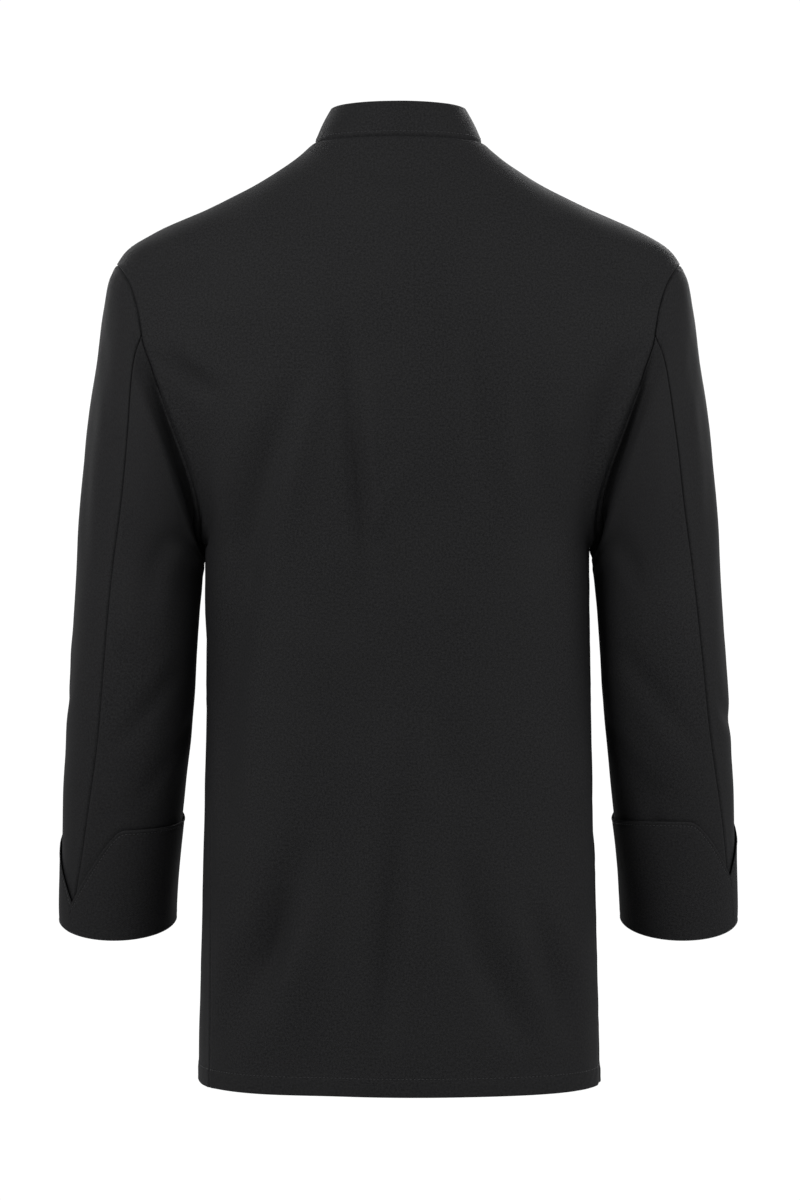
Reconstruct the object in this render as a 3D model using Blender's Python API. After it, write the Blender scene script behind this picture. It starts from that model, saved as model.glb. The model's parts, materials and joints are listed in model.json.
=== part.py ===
"""A long-sleeved double-breasted chef jacket, closed and filled out as if worn, built as closed walls of cloth.

+Z is up, the wearer faces -Y and the wearer's left is +X. The origin is the centre of the neckline, level with the
collar seam at the back, where the jacket rests round the wearer's neck and shoulders. Tables and sizes are in
millimetres, and every mesh is made in metres.

Below the underarm a row of the body runs level from the centre back round the side to the centre front. Above it,
a row ends on the armhole, and above the shoulder tip on the shoulder seam, so the top row is the neckline.
"""

import math

import bmesh
import bpy
import numpy as np
from mathutils import Matrix, Vector
from mathutils.bvhtree import BVHTree

MM = 0.001

# Driving sizes
BACK_LENGTH = 795
SHOULDER_TIP = (239, -103)  # x and z of the top of the armhole seam
UNDERARM = (162, -344)  # x and z of its foot
ARMHOLE_DEPTH = 74  # its half-size from front to back
SLEEVE_LENGTH = 515  # from the armhole seam down to the turned-back edge
CUFF_DEPTH = 93
COLLAR_HEIGHT = 30
ARM_RADIUS_AT_CUFF = 51
WALL = 1.6
CUFF_WALL = 1.8
COLLAR_WALL = 2.4
SEAM_GAP = 0.3
LAYER_GAP = 0.5  # between the two fronts where they lap
CUFF_GAP = 1.2  # between a turned-back cuff and its sleeve

# How finely each stretch is divided
HEM_TO_UNDERARM = 10
UNDERARM_TO_TIP_BACK = (6, 3)  # below and above the sleeve's back seam
UNDERARM_TO_TIP_FRONT = (2, 6)  # below and above the sleeve's front seam
TIP_TO_NECK = 6
HALF_BACK = 10
SIDE_TO_LAP = 7
HALF_LAP = 4
SLEEVE_RINGS = 15
CUFF_RINGS = 4
COLLAR_RINGS = 3

# The sleeve's two seams meet the armhole at these angles. 0 is the tip, 90 the back and 180 the underarm
BACK_SEAM_START = 62
FRONT_SEAM = -140

CLOTH_COLOUR = (0.016, 0.016, 0.017, 1.0)
BUTTON_COLOUR = (0.010, 0.010, 0.011, 1.0)


def table(names, *rows):
    """The columns of a table, by name. The first is what the others are read against."""
    return dict(zip(names.split(), np.array(rows, float).T))


BODY = table(
    "height back_y front_y front_z centre_full edge_full",
    (-BACK_LENGTH, 128, -138, -BACK_LENGTH, 0.66, 0.66),
    (-650, 122, -136, -650, 0.66, 0.66),
    (-500, 118, -132, -500, 0.66, 0.66),
    (UNDERARM[1], 126, -130, -356, 0.66, 0.66),
    (-250, 129, -122, -285, 0.64, 0.62),
    (-160, 121, -104, -214, 0.56, 0.52),
    (SHOULDER_TIP[1], 109, -88, -165, 0.46, 0.45),
    (-60, 92, -72, -124, 0.43, 0.43),
    (-25, 76, -61, -95, 0.47, 0.47),
    (0, 62, -52, -75, 0.55, 0.55),
)

# Half the width of the rows. Between the underarm and the shoulder tip it takes in the top of the arm
HALF_WIDTH = table(
    "height reach",
    (-BACK_LENGTH, 170),
    (-650, 166.5),
    (-500, 163.5),
    (UNDERARM[1], UNDERARM[0]),
    (-326, 165),
    (-306, 172.5),
    (-284, 184.5),
    (-258, 201),
    (-230, 220),
    (-200, 240),
    (-167, 254),
    (-140, 251.5),
    (-118, 246),
    (SHOULDER_TIP[1], SHOULDER_TIP[0]),
    (-91, 230),
    (-75, 204),
    (-55, 159),
    (-34, 118),
    (-14, 87.5),
    (0, 71),
)

# How far the side seam sits back from the side of the body, as a share of the half row
SIDE_SEAM = table("height left right", (-BACK_LENGTH, 0.27, 0.07), (-600, 0.22, 0.06), (-480, 0.11, 0.03), (-400, 0, 0))

# How far each front reaches past the centre
FRONT_LAP = table(
    "height reach", (-BACK_LENGTH, 92), (-200, 92), (-103, 88), (-60, 70), (-30, 42), (-10, 18), (0, 7)
)

# A section of the sleeve every so far down it: its outermost and innermost points, the middle of it from front to
# back, its half-depth, and how much lower its back is than its middle
SLEEVE = table(
    "down outer_x outer_z inner_x inner_z y depth drop",
    (0, *SHOULDER_TIP, *UNDERARM, 0, ARMHOLE_DEPTH, 0),
    (14, 246.0, -118, 162.8, -347, 0, 76, 0),
    (34, 250.5, -142, 163.4, -350, 0, 78, 0),
    (66, 256, -182, 164.2, -354, 0, 78, 0),
    (112, 264, -240, 165.2, -360, 0, 76, 0),
    (168, 270.5, -315, 166.4, -368, 0, 73, 0),
    (222, 274.5, -375, 168.2, -388, 0, 71, 2),
    (275, 278.4, -430, 171.4, -432, -2, 69, 6),
    (330, 282, -486, 175.6, -486, -9, 65, 12),
    (402, 286.8, -556, 183.0, -556, -25, 59, 15),
    (470, 289.0, -620, 191.0, -620, -43, 53, 15),
    (SLEEVE_LENGTH, 290.5, -662, 194.0, -662, -55, 50, 14),
)
ARMHOLE_FADE = 120  # how far down the sleeve the armhole's own shape has gone

# The angle of the sleeve's back seam, down each sleeve
BACK_SEAM = table(
    "down left right",
    (0, BACK_SEAM_START, BACK_SEAM_START),
    (120, 74, 66),
    (220, 69, 60),
    (330, 65, 52),
    (430, 57, 41),
    (SLEEVE_LENGTH, 46, 30),
)

# The slit of the cuff: its foot above the cuff's edge, and how far round the cuff its top edge takes to rise
SLIT_FOOT = 18
SLIT_WIDTH = 62

BUTTON_HEIGHTS = (-165, -255, -345, -435, -525)  # of the five pairs
BUTTON_REACH = 72  # from the centre front
BUTTON_RADIUS = 9.5
BUTTON_PROFILE = (  # share of the radius, height above the cloth
    (1.0, 0.8),
    (1.0, 2.6),
    (0.86, 3.6),
    (0.66, 2.7),
    (0.0, 2.7),
)
BUTTON_SIDES = 20


def curve(columns, name, at):
    """One column of a table, by a cubic through its rows that never overshoots them."""
    x, y = next(iter(columns.values())), columns[name]
    slope = np.diff(y) / np.diff(x)
    both = slope[:-1] * slope[1:]
    inner = np.where(both > 0, 2 * both / np.where(both > 0, slope[:-1] + slope[1:], 1), 0)
    tangent = np.concatenate([slope[:1], inner, slope[-1:]])
    at = np.asarray(at, float)
    i = np.clip(np.searchsorted(x, at) - 1, 0, len(slope) - 1)
    gap = np.diff(x)[i]
    t = np.clip((at - x[i]) / gap, 0, 1)
    return (
        (1 + 2 * t) * (1 - t) ** 2 * y[i]
        + t**2 * (3 - 2 * t) * y[i + 1]
        + gap * t * (1 - t) ** 2 * tangent[i]
        - gap * t**2 * (1 - t) * tangent[i + 1]
    )


def tube(down, angle):
    """A point of the left sleeve's plain tube: so far down it, at an angle round it in degrees."""
    turn = np.radians(angle)
    outer_x, outer_z, inner_x, inner_z, y, depth, drop = (curve(SLEEVE, name, down) for name in list(SLEEVE)[1:])
    x = (outer_x + inner_x) / 2 + (outer_x - inner_x) / 2 * np.cos(turn)
    z = (outer_z + inner_z) / 2 + (outer_z - inner_z) / 2 * np.cos(turn) - drop * np.sin(turn)
    return np.stack([x, y + depth * np.sin(turn), z], -1)


def section(down, angle):
    """A point of the left sleeve, which starts on the armhole seam and has become a plain tube a little below it."""
    down, angle = np.broadcast_arrays(down, angle)
    wrapped = (angle + 180) % 360 - 180
    height = armhole_height(wrapped)
    armhole = half_row(height, np.ones_like(height), np.where(wrapped < 0, -1, 1))
    start = np.zeros_like(height)
    fade = np.clip(1 - down / ARMHOLE_FADE, 0, 1)[..., None] ** 2
    return tube(down, angle) + fade * (armhole - tube(start, angle))


def armhole_angle(height):
    """The angle at which the armhole seam is at a height, 0 at the tip and 180 at the underarm."""
    middle, half = (SHOULDER_TIP[1] + UNDERARM[1]) / 2, (SHOULDER_TIP[1] - UNDERARM[1]) / 2
    return np.degrees(np.arccos(np.clip((height - middle) / half, -1, 1)))


def armhole_height(angle):
    """The height at which the armhole seam is at an angle."""
    middle, half = (SHOULDER_TIP[1] + UNDERARM[1]) / 2, (SHOULDER_TIP[1] - UNDERARM[1]) / 2
    return middle + half * np.cos(np.radians(angle))


def bezier(s, a, b, c, d):
    r = 1 - s
    return r**3 * a + 3 * s * r**2 * b + 3 * s**2 * r * c + s**3 * d


def whole_row(height, s, side):
    """A point on the left half of a row, as if there were no armhole. side is 1 for the back, -1 for the front."""
    reach = curve(HALF_WIDTH, "reach", height)
    centre_y = np.where(side > 0, curve(BODY, "back_y", height), curve(BODY, "front_y", height))
    centre_z = np.where(side > 0, height, curve(BODY, "front_z", height))
    x = bezier(s, 0, curve(BODY, "centre_full", height) * reach, reach, reach)
    y = bezier(s, centre_y, centre_y, curve(BODY, "edge_full", height) * centre_y, 0)
    z = centre_z + (height - centre_z) * s**2 * (3 - 2 * s)
    return np.stack([x, y, z], -1)


def halved(below, low, high, steps=40):
    """The place between low and high where below(place) stops being true."""
    for _ in range(steps):
        middle = (low + high) / 2
        short = below(middle)
        low, high = np.where(short, middle, low), np.where(short, high, middle)
    return low


def half_row(height, share, side):
    """A point on the left half of a row, a share of the way from its centre to the seam that it ends on."""
    depth = ARMHOLE_DEPTH * np.sin(np.radians(armhole_angle(height)))
    zero, one = np.zeros_like(height), np.ones_like(height)
    cut = halved(lambda s: np.abs(whole_row(height, s, side)[..., 1]) > depth, zero, one)
    return whole_row(height, share * np.where(depth > 1e-6, cut, 1), side)


def body(height, around, front):
    """A point of the body. around is 0 at the centre back, 1 at the left side, 2 at the centre front, 3 at the right."""
    around = np.mod(around, 4)
    mirror = np.where(around > 2, -1, 1)
    around = np.where(around > 2, 4 - around, around)
    at_side = np.abs(around - 1) < 1e-9
    side = np.where(at_side, -1 if front else 1, np.where(around < 1, 1, -1))
    point = half_row(height, np.where(side > 0, around, 2 - around), side)
    return point * np.stack([mirror, np.ones_like(mirror), np.ones_like(mirror)], -1)


def unit(vectors):
    return vectors / np.maximum(np.linalg.norm(vectors, axis=-1, keepdims=True), 1e-12)


def own_body_normal(height, around, front):
    """The way out of the body at a point, from small steps along and up its row that stay on the same panel."""
    step, rise = 0.004, 1.0
    first, last = (1, 3) if front else (-1, 1)
    at_first, at_last = np.abs(around - first) < 1e-9, np.abs(around - last) < 1e-9
    before = np.where(at_first, around, around - step)
    after = np.where(at_last, around, around + step)
    across = body(height, after, front) - body(height, before, front)
    up = body(np.minimum(height + rise, 0), around, front) - body(
        np.maximum(height - rise, -BACK_LENGTH), around, front
    )
    return unit(np.cross(up, across))


def own_sleeve_normal(down, angle):
    """The way out of the left sleeve at a point."""
    along = section(np.minimum(down + 1, SLEEVE_LENGTH), angle) - section(np.maximum(down - 1, 0), angle)
    around = section(down, angle + 1) - section(down, angle - 1)
    return unit(np.cross(along, around))


def armhole_normal(angle):
    """The way out at the left armhole seam: halfway between the body's and the sleeve's.

    Where the two hang back to back, as under the arm, it points the way they hang.
    """
    angle = (np.asarray(angle, float) + 180) % 360 - 180
    height, zero = armhole_height(angle), np.zeros_like(angle)
    side = np.where(angle < 0, -1, 1)
    of_body = np.where(
        (side < 0)[..., None],
        own_body_normal(height, zero + 1, True),
        own_body_normal(height, zero + 1, False),
    )
    of_sleeve = own_sleeve_normal(zero, angle)
    along = unit(section(zero, angle + 1) - section(zero, angle - 1))
    inward = np.cross(of_body, along) + np.cross(along, of_sleeve)
    folded = np.clip(1 - np.linalg.norm(of_body + of_sleeve, axis=-1, keepdims=True), 0, 1)
    return unit(of_body + of_sleeve + folded * inward)


def body_normal(height, around, front):
    """The way out of the body at a point, shared with the sleeve where it meets one."""
    own = own_body_normal(height, around, front)
    on_left = np.abs(around - 1) < 1e-9
    on_right = np.abs(around - (3 if front else -1)) < 1e-9
    on_armhole = (on_left | on_right) & (height > UNDERARM[1] - 1e-6) & (height < SHOULDER_TIP[1] + 1e-6)
    shared = armhole_normal(armhole_angle(height) * (-1 if front else 1))
    shared = shared * np.stack([np.where(on_right, -1, 1), np.ones_like(height), np.ones_like(height)], -1)
    return np.where(on_armhole[..., None], shared, own)


def sleeve_normal(down, angle):
    """The way out of the left sleeve at a point, shared with the body where it meets it."""
    return np.where((down < 1e-9)[..., None], armhole_normal(angle), own_sleeve_normal(down, angle))


def material(name, colour, roughness):
    made = bpy.data.materials.new(name)
    made.use_nodes = True
    shader = made.node_tree.nodes["Principled BSDF"]
    shader.inputs["Base Color"].default_value = colour
    shader.inputs["Roughness"].default_value = roughness
    shader.inputs["Metallic"].default_value = 0.0
    made.diffuse_color = colour
    return made


def add_object(name, points, faces, finish):
    """A mesh object from points in millimetres, its faces turned outwards."""
    mesh = bpy.data.meshes.new(name)
    mesh.from_pydata([Vector(p) * MM for p in points], [], faces)
    shape = bmesh.new()
    shape.from_mesh(mesh)
    bmesh.ops.recalc_face_normals(shape, faces=shape.faces)
    shape.to_mesh(mesh)
    shape.free()
    made = bpy.data.objects.new(name, mesh)
    bpy.context.scene.collection.objects.link(made)
    mesh.materials.append(finish)
    mesh.shade_smooth()
    mesh.set_sharp_from_angle(angle=math.radians(40))
    return made


def draw_in(sheet, edges):
    """Moves the sheet's named edges inwards by half the seam gap, so that neighbours don't touch."""
    for edge in edges:
        last, next_in = {
            "bottom": ((0,), (1,)),
            "top": ((-1,), (-2,)),
            "start": ((slice(None), 0), (slice(None), 1)),
            "end": ((slice(None), -1), (slice(None), -2)),
        }[edge]
        sheet[last] += unit(sheet[next_in] - sheet[last]) * SEAM_GAP / 2


def wall(name, points, normals, finish, seams, thickness=WALL, lift=0.0, mirrored=False):
    """A closed wall of cloth. Its outer face is a grid of points (rows from the bottom), moved out by lift."""
    lift = np.broadcast_to(lift, points.shape[:2])[..., None]
    outer = points + normals * lift
    inner = outer - normals * thickness
    for sheet in (outer, inner):
        draw_in(sheet, seams)
    if mirrored:
        outer, inner = outer * (-1, 1, 1), inner * (-1, 1, 1)
    rows, columns = points.shape[:2]
    index = np.arange(rows * columns).reshape(rows, columns)
    a, b, c, d = index[:-1, :-1], index[:-1, 1:], index[1:, 1:], index[1:, :-1]
    flat = outer.reshape(-1, 3)
    rising = np.linalg.norm(flat[a] - flat[c], axis=-1) < np.linalg.norm(flat[b] - flat[d], axis=-1)
    halves = np.where(rising[..., None], np.stack([a, b, c, a, c, d], -1), np.stack([a, b, d, b, c, d], -1))
    triangles = halves.reshape(-1, 3)
    rim = np.concatenate([index[0, :-1], index[:-1, -1], index[-1, :0:-1], index[:0:-1, 0]])
    count = rows * columns
    both = np.concatenate([flat, inner.reshape(-1, 3)])
    faces = triangles.tolist() + (triangles[:, ::-1] + count).tolist()
    for p, q in zip(rim.tolist(), np.roll(rim, -1).tolist()):
        if np.linalg.norm(both[p] - both[q + count]) < np.linalg.norm(both[q] - both[p + count]):
            faces += [(q, p, q + count), (p, p + count, q + count)]
        else:
            faces += [(q, p, p + count), (q, p + count, q + count)]
    return add_object(name, both, faces, finish)


def run(*stops):
    """Values from stop to stop: run(a, n, b, m, c) goes from a to b in n steps, then to c in m."""
    values = [stops[0]]
    for start, steps, end in zip(stops[:-2:2], stops[1:-1:2], stops[2::2]):
        values += [start + (end - start) * (k + 1) / steps for k in range(steps)]
    return np.array(values)


def lap_share(height):
    """The share of its half row that a front's reach past the centre takes."""
    reach = curve(FRONT_LAP, "reach", height)
    front = -np.ones_like(height)
    return halved(lambda s: half_row(height, s, front)[..., 0] < reach, np.zeros_like(height), np.ones_like(height))


def body_heights(armhole_angles):
    """The heights of a panel's rows, from the hem to the neckline."""
    return np.concatenate(
        [
            run(-BACK_LENGTH, HEM_TO_UNDERARM, UNDERARM[1]),
            [armhole_height(angle) for angle in armhole_angles[1:]],
            run(SHOULDER_TIP[1], TIP_TO_NECK, 0)[1:],
        ]
    )


def make_back(finish):
    below, above = UNDERARM_TO_TIP_BACK
    height = body_heights(run(180, below, BACK_SEAM_START, above, 0))[:, None]
    share = run(-1, 2 * HALF_BACK, 1)[None, :]
    side = np.where(share > 0, 1 - curve(SIDE_SEAM, "left", height), 1 - curve(SIDE_SEAM, "right", height))
    height, around = np.broadcast_arrays(height, share * side)
    wall("back", body(height, around, False), body_normal(height, around, False), finish, ("start", "end", "top"))


def make_front(name, seam, finish, over):
    """A front, modelled as a left one. The one that laps over the other stands proud of it by a layer."""
    below, above = UNDERARM_TO_TIP_FRONT
    height = body_heights(run(180, below, -FRONT_SEAM, above, 0))[:, None]
    lap = lap_share(height)
    across = run(0, SIDE_TO_LAP, 1, 2 * HALF_LAP, 2)[None, :]
    side_seam = 1 - curve(SIDE_SEAM, seam, height)
    around = np.where(
        across < 1,
        side_seam + (2 - lap - side_seam) * across,
        2 - lap + 2 * lap * (across - 1),
    )
    height = np.broadcast_to(height, around.shape)
    fade = np.clip(1 - (2 - lap - around) / 0.35, 0, 1)
    lift = (WALL + LAYER_GAP) * fade**2 * (3 - 2 * fade) if over else 0.0
    return wall(
        name,
        body(height, around, True),
        body_normal(height, around, True),
        finish,
        ("start", "top"),
        lift=lift,
        mirrored=not over,
    )


def collar_point(around, up):
    """A point of the collar, from 0 at its seam to 1 at its top edge."""
    base = body(np.zeros_like(around), around, True)
    top = base * (0.80, 0.88, 1) + (0, 0, COLLAR_HEIGHT)
    return base + (top - base) * up[..., None]


def make_collar(finish):
    lap = float(lap_share(np.zeros(1))[0])
    around = run(-2 + lap, SIDE_TO_LAP, -1, 2 * HALF_BACK, 1, SIDE_TO_LAP, 2 - lap)[None, :]
    up = run(0, COLLAR_RINGS, 1)[:, None]
    around, up = np.broadcast_arrays(around, up)
    step = 0.004
    across = collar_point(around + step, up) - collar_point(around - step, up)
    rise = collar_point(around, up + step) - collar_point(around, up)
    normals = unit(np.cross(rise, across))
    wall("collar", collar_point(around, up), normals, finish, ("bottom",), thickness=COLLAR_WALL)


def sleeve_angles(down, arm, piece):
    """The angles of a sleeve piece's columns at each distance down it. Columns meet the body's rows at the armhole."""
    seam = curve(BACK_SEAM, arm, down)
    under, upper = UNDERARM_TO_TIP_BACK
    front_under, front_upper = UNDERARM_TO_TIP_FRONT
    if piece == "upper":
        front, back = run(FRONT_SEAM, front_upper, 0), run(0, upper, 1)[1:]
        return np.concatenate([front + 0 * seam, back * seam], -1)
    back, front = run(0, under, 1), run(180, front_under, 360 + FRONT_SEAM)[1:]
    return np.concatenate([seam + (180 - seam) * back, front + 0 * seam], -1)


def make_sleeve(arm, piece, finish):
    down = SLEEVE_LENGTH * (run(0, SLEEVE_RINGS, 1)[::-1, None]) ** 1.3
    angle = sleeve_angles(down, arm, piece)
    down = np.broadcast_to(down, angle.shape)
    wall(
        f"sleeve_{arm}_{piece}",
        section(down, angle),
        sleeve_normal(down, angle),
        finish,
        ("start", "end", "top"),
        mirrored=arm == "right",
    )


def cuff_rise(angle, arm):
    """The height of the cuff's top edge above its turned edge, which drops to the slit at the sleeve's back seam."""
    seam = curve(BACK_SEAM, arm, SLEEVE_LENGTH - CUFF_DEPTH / 2)
    radius = ARM_RADIUS_AT_CUFF * math.pi / 180
    from_slit = np.minimum(angle - seam, 360 + seam - angle) * radius
    share = np.clip(from_slit / SLIT_WIDTH, 0, 1)
    return SLIT_FOOT + (CUFF_DEPTH - SLIT_FOOT) * np.sin(share * math.pi / 2)


def make_cuff(arm, finish):
    """The sleeve's end turned back over it, in one strip that runs round from one side of the slit to the other."""
    ends = [SLEEVE_LENGTH * np.ones((1, 1))] * 2
    middle = ends[0] - CUFF_DEPTH / 2
    def round_cuff(down):
        return np.concatenate([sleeve_angles(down, arm, "under"), sleeve_angles(down, arm, "upper")[..., 1:] + 360], -1)
    rise = cuff_rise(round_cuff(middle), arm)
    down = SLEEVE_LENGTH - rise * run(0, CUFF_RINGS, 1)[:, None]
    angle = np.stack([np.diagonal(round_cuff(row[:, None])) for row in down])
    wall(
        f"cuff_{arm}",
        section(down, angle),
        sleeve_normal(down, angle),
        finish,
        ("start", "end"),
        thickness=CUFF_WALL,
        lift=CUFF_GAP + CUFF_WALL,
        mirrored=arm == "right",
    )


def button_mesh(finish):
    """A turned button, its flat back on z = 0 and its raised rim up."""
    rings = [(BUTTON_RADIUS * share, up) for share, up in BUTTON_PROFILE[:-1]]
    points = [(0, 0, 0)]
    for radius, up in [(BUTTON_RADIUS * 0.9, 0), *rings]:
        for k in range(BUTTON_SIDES):
            turn = 2 * math.pi * k / BUTTON_SIDES
            points.append((radius * math.cos(turn), radius * math.sin(turn), up))
    points.append((0, 0, BUTTON_PROFILE[-1][1]))
    faces = []
    for k in range(BUTTON_SIDES):
        after = (k + 1) % BUTTON_SIDES
        faces.append((0, 1 + after, 1 + k))
        for ring in range(len(rings)):
            low, high = 1 + ring * BUTTON_SIDES, 1 + (ring + 1) * BUTTON_SIDES
            faces.append((low + k, low + after, high + after, high + k))
        top = 1 + len(rings) * BUTTON_SIDES
        faces.append((top + k, top + after, len(points) - 1))
    made = add_object("button", points, faces, finish)
    mesh = made.data
    bpy.data.objects.remove(made)
    return mesh


def make_buttons(front, finish):
    """Five pairs of buttons, each square to the front where it is sewn and just clear of it."""
    mesh = button_mesh(finish)
    bpy.context.view_layer.update()
    tree = BVHTree.FromObject(front, bpy.context.evaluated_depsgraph_get())
    inward = Vector((0, 1, 0))
    for column, x in (("left", BUTTON_REACH), ("right", -BUTTON_REACH)):
        for number, z in enumerate(BUTTON_HEIGHTS, 1):
            def seat(dx, dz):
                start = Vector(((x + dx) * MM, -0.5, (z + dz) * MM))
                return tree.ray_cast(start, inward)[0]
            r = BUTTON_RADIUS
            across, up = seat(r, 0) - seat(-r, 0), seat(0, r) - seat(0, -r)
            out = up.cross(across).normalized() * -1
            out = out if out.y < 0 else -out
            centre = seat(0, 0)
            rim = [seat(r * math.cos(t * math.pi / 8), r * math.sin(t * math.pi / 8)) for t in range(16)]
            clear = max(0.0, *((point - centre).dot(out) for point in rim))
            made = bpy.data.objects.new(f"button_{column}_{number}", mesh)
            bpy.context.scene.collection.objects.link(made)
            turn = out.to_track_quat("Z", "Y").to_matrix().to_4x4()
            made.matrix_world = Matrix.Translation(centre + out * (clear + SEAM_GAP * MM)) @ turn


def main():
    for old in list(bpy.data.objects):
        bpy.data.objects.remove(old, do_unlink=True)
    cloth = material("black_cloth", CLOTH_COLOUR, 0.8)
    plastic = material("black_button", BUTTON_COLOUR, 0.35)
    make_back(cloth)
    over = make_front("front_left", "left", cloth, over=True)
    make_front("front_right", "right", cloth, over=False)
    make_collar(cloth)
    for arm in ("left", "right"):
        for piece in ("upper", "under"):
            make_sleeve(arm, piece, cloth)
        make_cuff(arm, cloth)
    make_buttons(over, plastic)


main()
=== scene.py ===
"""Looks of the chef jacket: fine black twill with soft folds, sewn seams, turned-back cuffs and buttons.

Sizes and tables are in millimetres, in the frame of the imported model: +Z up, the wearer faces -Y and the
wearer's left is +X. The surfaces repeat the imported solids' forms, finely enough for folds and stitches.
"""

import json
import math

import bmesh
import bpy
import numpy as np
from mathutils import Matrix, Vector

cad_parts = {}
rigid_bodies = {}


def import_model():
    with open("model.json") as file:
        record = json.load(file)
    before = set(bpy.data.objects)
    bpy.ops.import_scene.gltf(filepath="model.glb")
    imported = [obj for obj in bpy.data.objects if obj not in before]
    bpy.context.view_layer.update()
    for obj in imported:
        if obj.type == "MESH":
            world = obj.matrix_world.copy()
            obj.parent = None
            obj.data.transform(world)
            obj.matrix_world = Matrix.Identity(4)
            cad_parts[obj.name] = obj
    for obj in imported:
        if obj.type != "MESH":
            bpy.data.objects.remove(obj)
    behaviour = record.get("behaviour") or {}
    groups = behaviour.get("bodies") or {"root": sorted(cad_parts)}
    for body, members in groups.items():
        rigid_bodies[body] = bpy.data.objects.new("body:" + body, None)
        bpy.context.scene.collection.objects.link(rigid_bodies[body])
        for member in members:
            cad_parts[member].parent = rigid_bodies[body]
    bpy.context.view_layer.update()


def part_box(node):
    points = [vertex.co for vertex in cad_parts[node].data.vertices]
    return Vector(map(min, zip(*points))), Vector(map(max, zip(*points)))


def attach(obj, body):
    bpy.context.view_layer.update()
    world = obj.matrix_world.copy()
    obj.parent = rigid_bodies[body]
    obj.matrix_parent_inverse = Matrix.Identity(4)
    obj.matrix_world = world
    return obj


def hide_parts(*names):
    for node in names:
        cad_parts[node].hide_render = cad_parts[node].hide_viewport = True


MM = 0.001

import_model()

# The jacket's driving sizes
BACK_LENGTH = 795
SHOULDER_TIP = (239, -103)  # x and z of the top of the armhole seam
UNDERARM = (162, -344)  # x and z of its foot
ARMHOLE_DEPTH = 74  # its half-size from front to back
ARMHOLE_MIDDLE = (SHOULDER_TIP[1] + UNDERARM[1]) / 2
ARMHOLE_HALF = (SHOULDER_TIP[1] - UNDERARM[1]) / 2
SLEEVE_LENGTH = 515  # from the armhole seam down to the turned-back edge
CUFF_DEPTH = 93
CUFF_MIDDLE = SLEEVE_LENGTH - CUFF_DEPTH / 2  # how far down the sleeve the middle of the cuff is
COLLAR_HEIGHT = 30
ARM_RADIUS_AT_CUFF = 51
BUTTON_HEIGHTS = (-165, -255, -345, -435, -525)
BUTTON_REACH = 72

CLOTH = 1.1  # thickness of one layer with its seams pressed
COLLAR_CLOTH = 2.2
LAP_RISE = 2.1  # how far the left front stands proud of the right one under it
CUFF_RISE = 2.6  # how far the cuff stands proud of its sleeve

HEM = 16  # depth of the hem
COLLAR_STITCHES = 3.4  # from the collar's seam
CUFF_STITCHES = 3.4  # from the cuff's edge
TURN_STITCHES = 2.2  # from the cuff's turned end
VENT_TOP = -585  # height at which the right side seam opens
SIDE_SEAM_TOP = -400  # below it the side seams leave the sides of the body
GRID = 4.0  # spacing of the points of the cloth
NEAR_EDGE = (0, 0.5, 1.1, 1.8, 2.6, 3.6, 5, 7.5)  # and their places beside a seam or an edge
PAST_SIDE = 1 + 1e-9  # the side of the body, counted to the front

SEAM_GROOVE = (1.15, 0.95)  # depth and half-width
SEAM_RIDGE = (0.32, 3.6, 2.4)  # height, distance from the seam and half-width
PUCKER_REACH = 9  # how far the ripples reach that the stitches of a seam draw in
WRINKLES = ((70, 1, 0.9, 11), (26, 0.7, 0.42, 12), (11, 0.7, 0.1, 13))  # size, stretch, height and seed
FAR = 1e9


def table(names, *rows):
    """The columns of a table, by name. The first is what the others are read against."""
    return dict(zip(names.split(), np.array(rows, float).T))


BODY = table(
    "height back_y front_y front_z centre_full edge_full",
    (-BACK_LENGTH, 128, -138, -BACK_LENGTH, 0.66, 0.66),
    (-650, 122, -136, -650, 0.66, 0.66),
    (-500, 118, -132, -500, 0.66, 0.66),
    (UNDERARM[1], 126, -130, -356, 0.66, 0.66),
    (-250, 129, -122, -285, 0.64, 0.62),
    (-160, 121, -104, -214, 0.56, 0.52),
    (SHOULDER_TIP[1], 109, -88, -165, 0.46, 0.45),
    (-60, 92, -72, -124, 0.43, 0.43),
    (-25, 76, -61, -95, 0.47, 0.47),
    (0, 62, -52, -75, 0.55, 0.55),
)
HALF_WIDTH = table(
    "height reach",
    (-BACK_LENGTH, 170),
    (-650, 166.5),
    (-500, 163.5),
    (UNDERARM[1], UNDERARM[0]),
    (-326, 165),
    (-306, 172.5),
    (-284, 184.5),
    (-258, 201),
    (-230, 220),
    (-200, 240),
    (-167, 254),
    (-140, 251.5),
    (-118, 246),
    (SHOULDER_TIP[1], SHOULDER_TIP[0]),
    (-91, 230),
    (-75, 204),
    (-55, 159),
    (-34, 118),
    (-14, 87.5),
    (0, 71),
)
# How far the side seam sits back from the side of the body, as a share of the half row
SIDE_SEAM = table(
    "height left right",
    (-BACK_LENGTH, 0.27, 0.07),
    (-600, 0.22, 0.06),
    (-480, 0.11, 0.03),
    (SIDE_SEAM_TOP, 0, 0),
)
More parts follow.
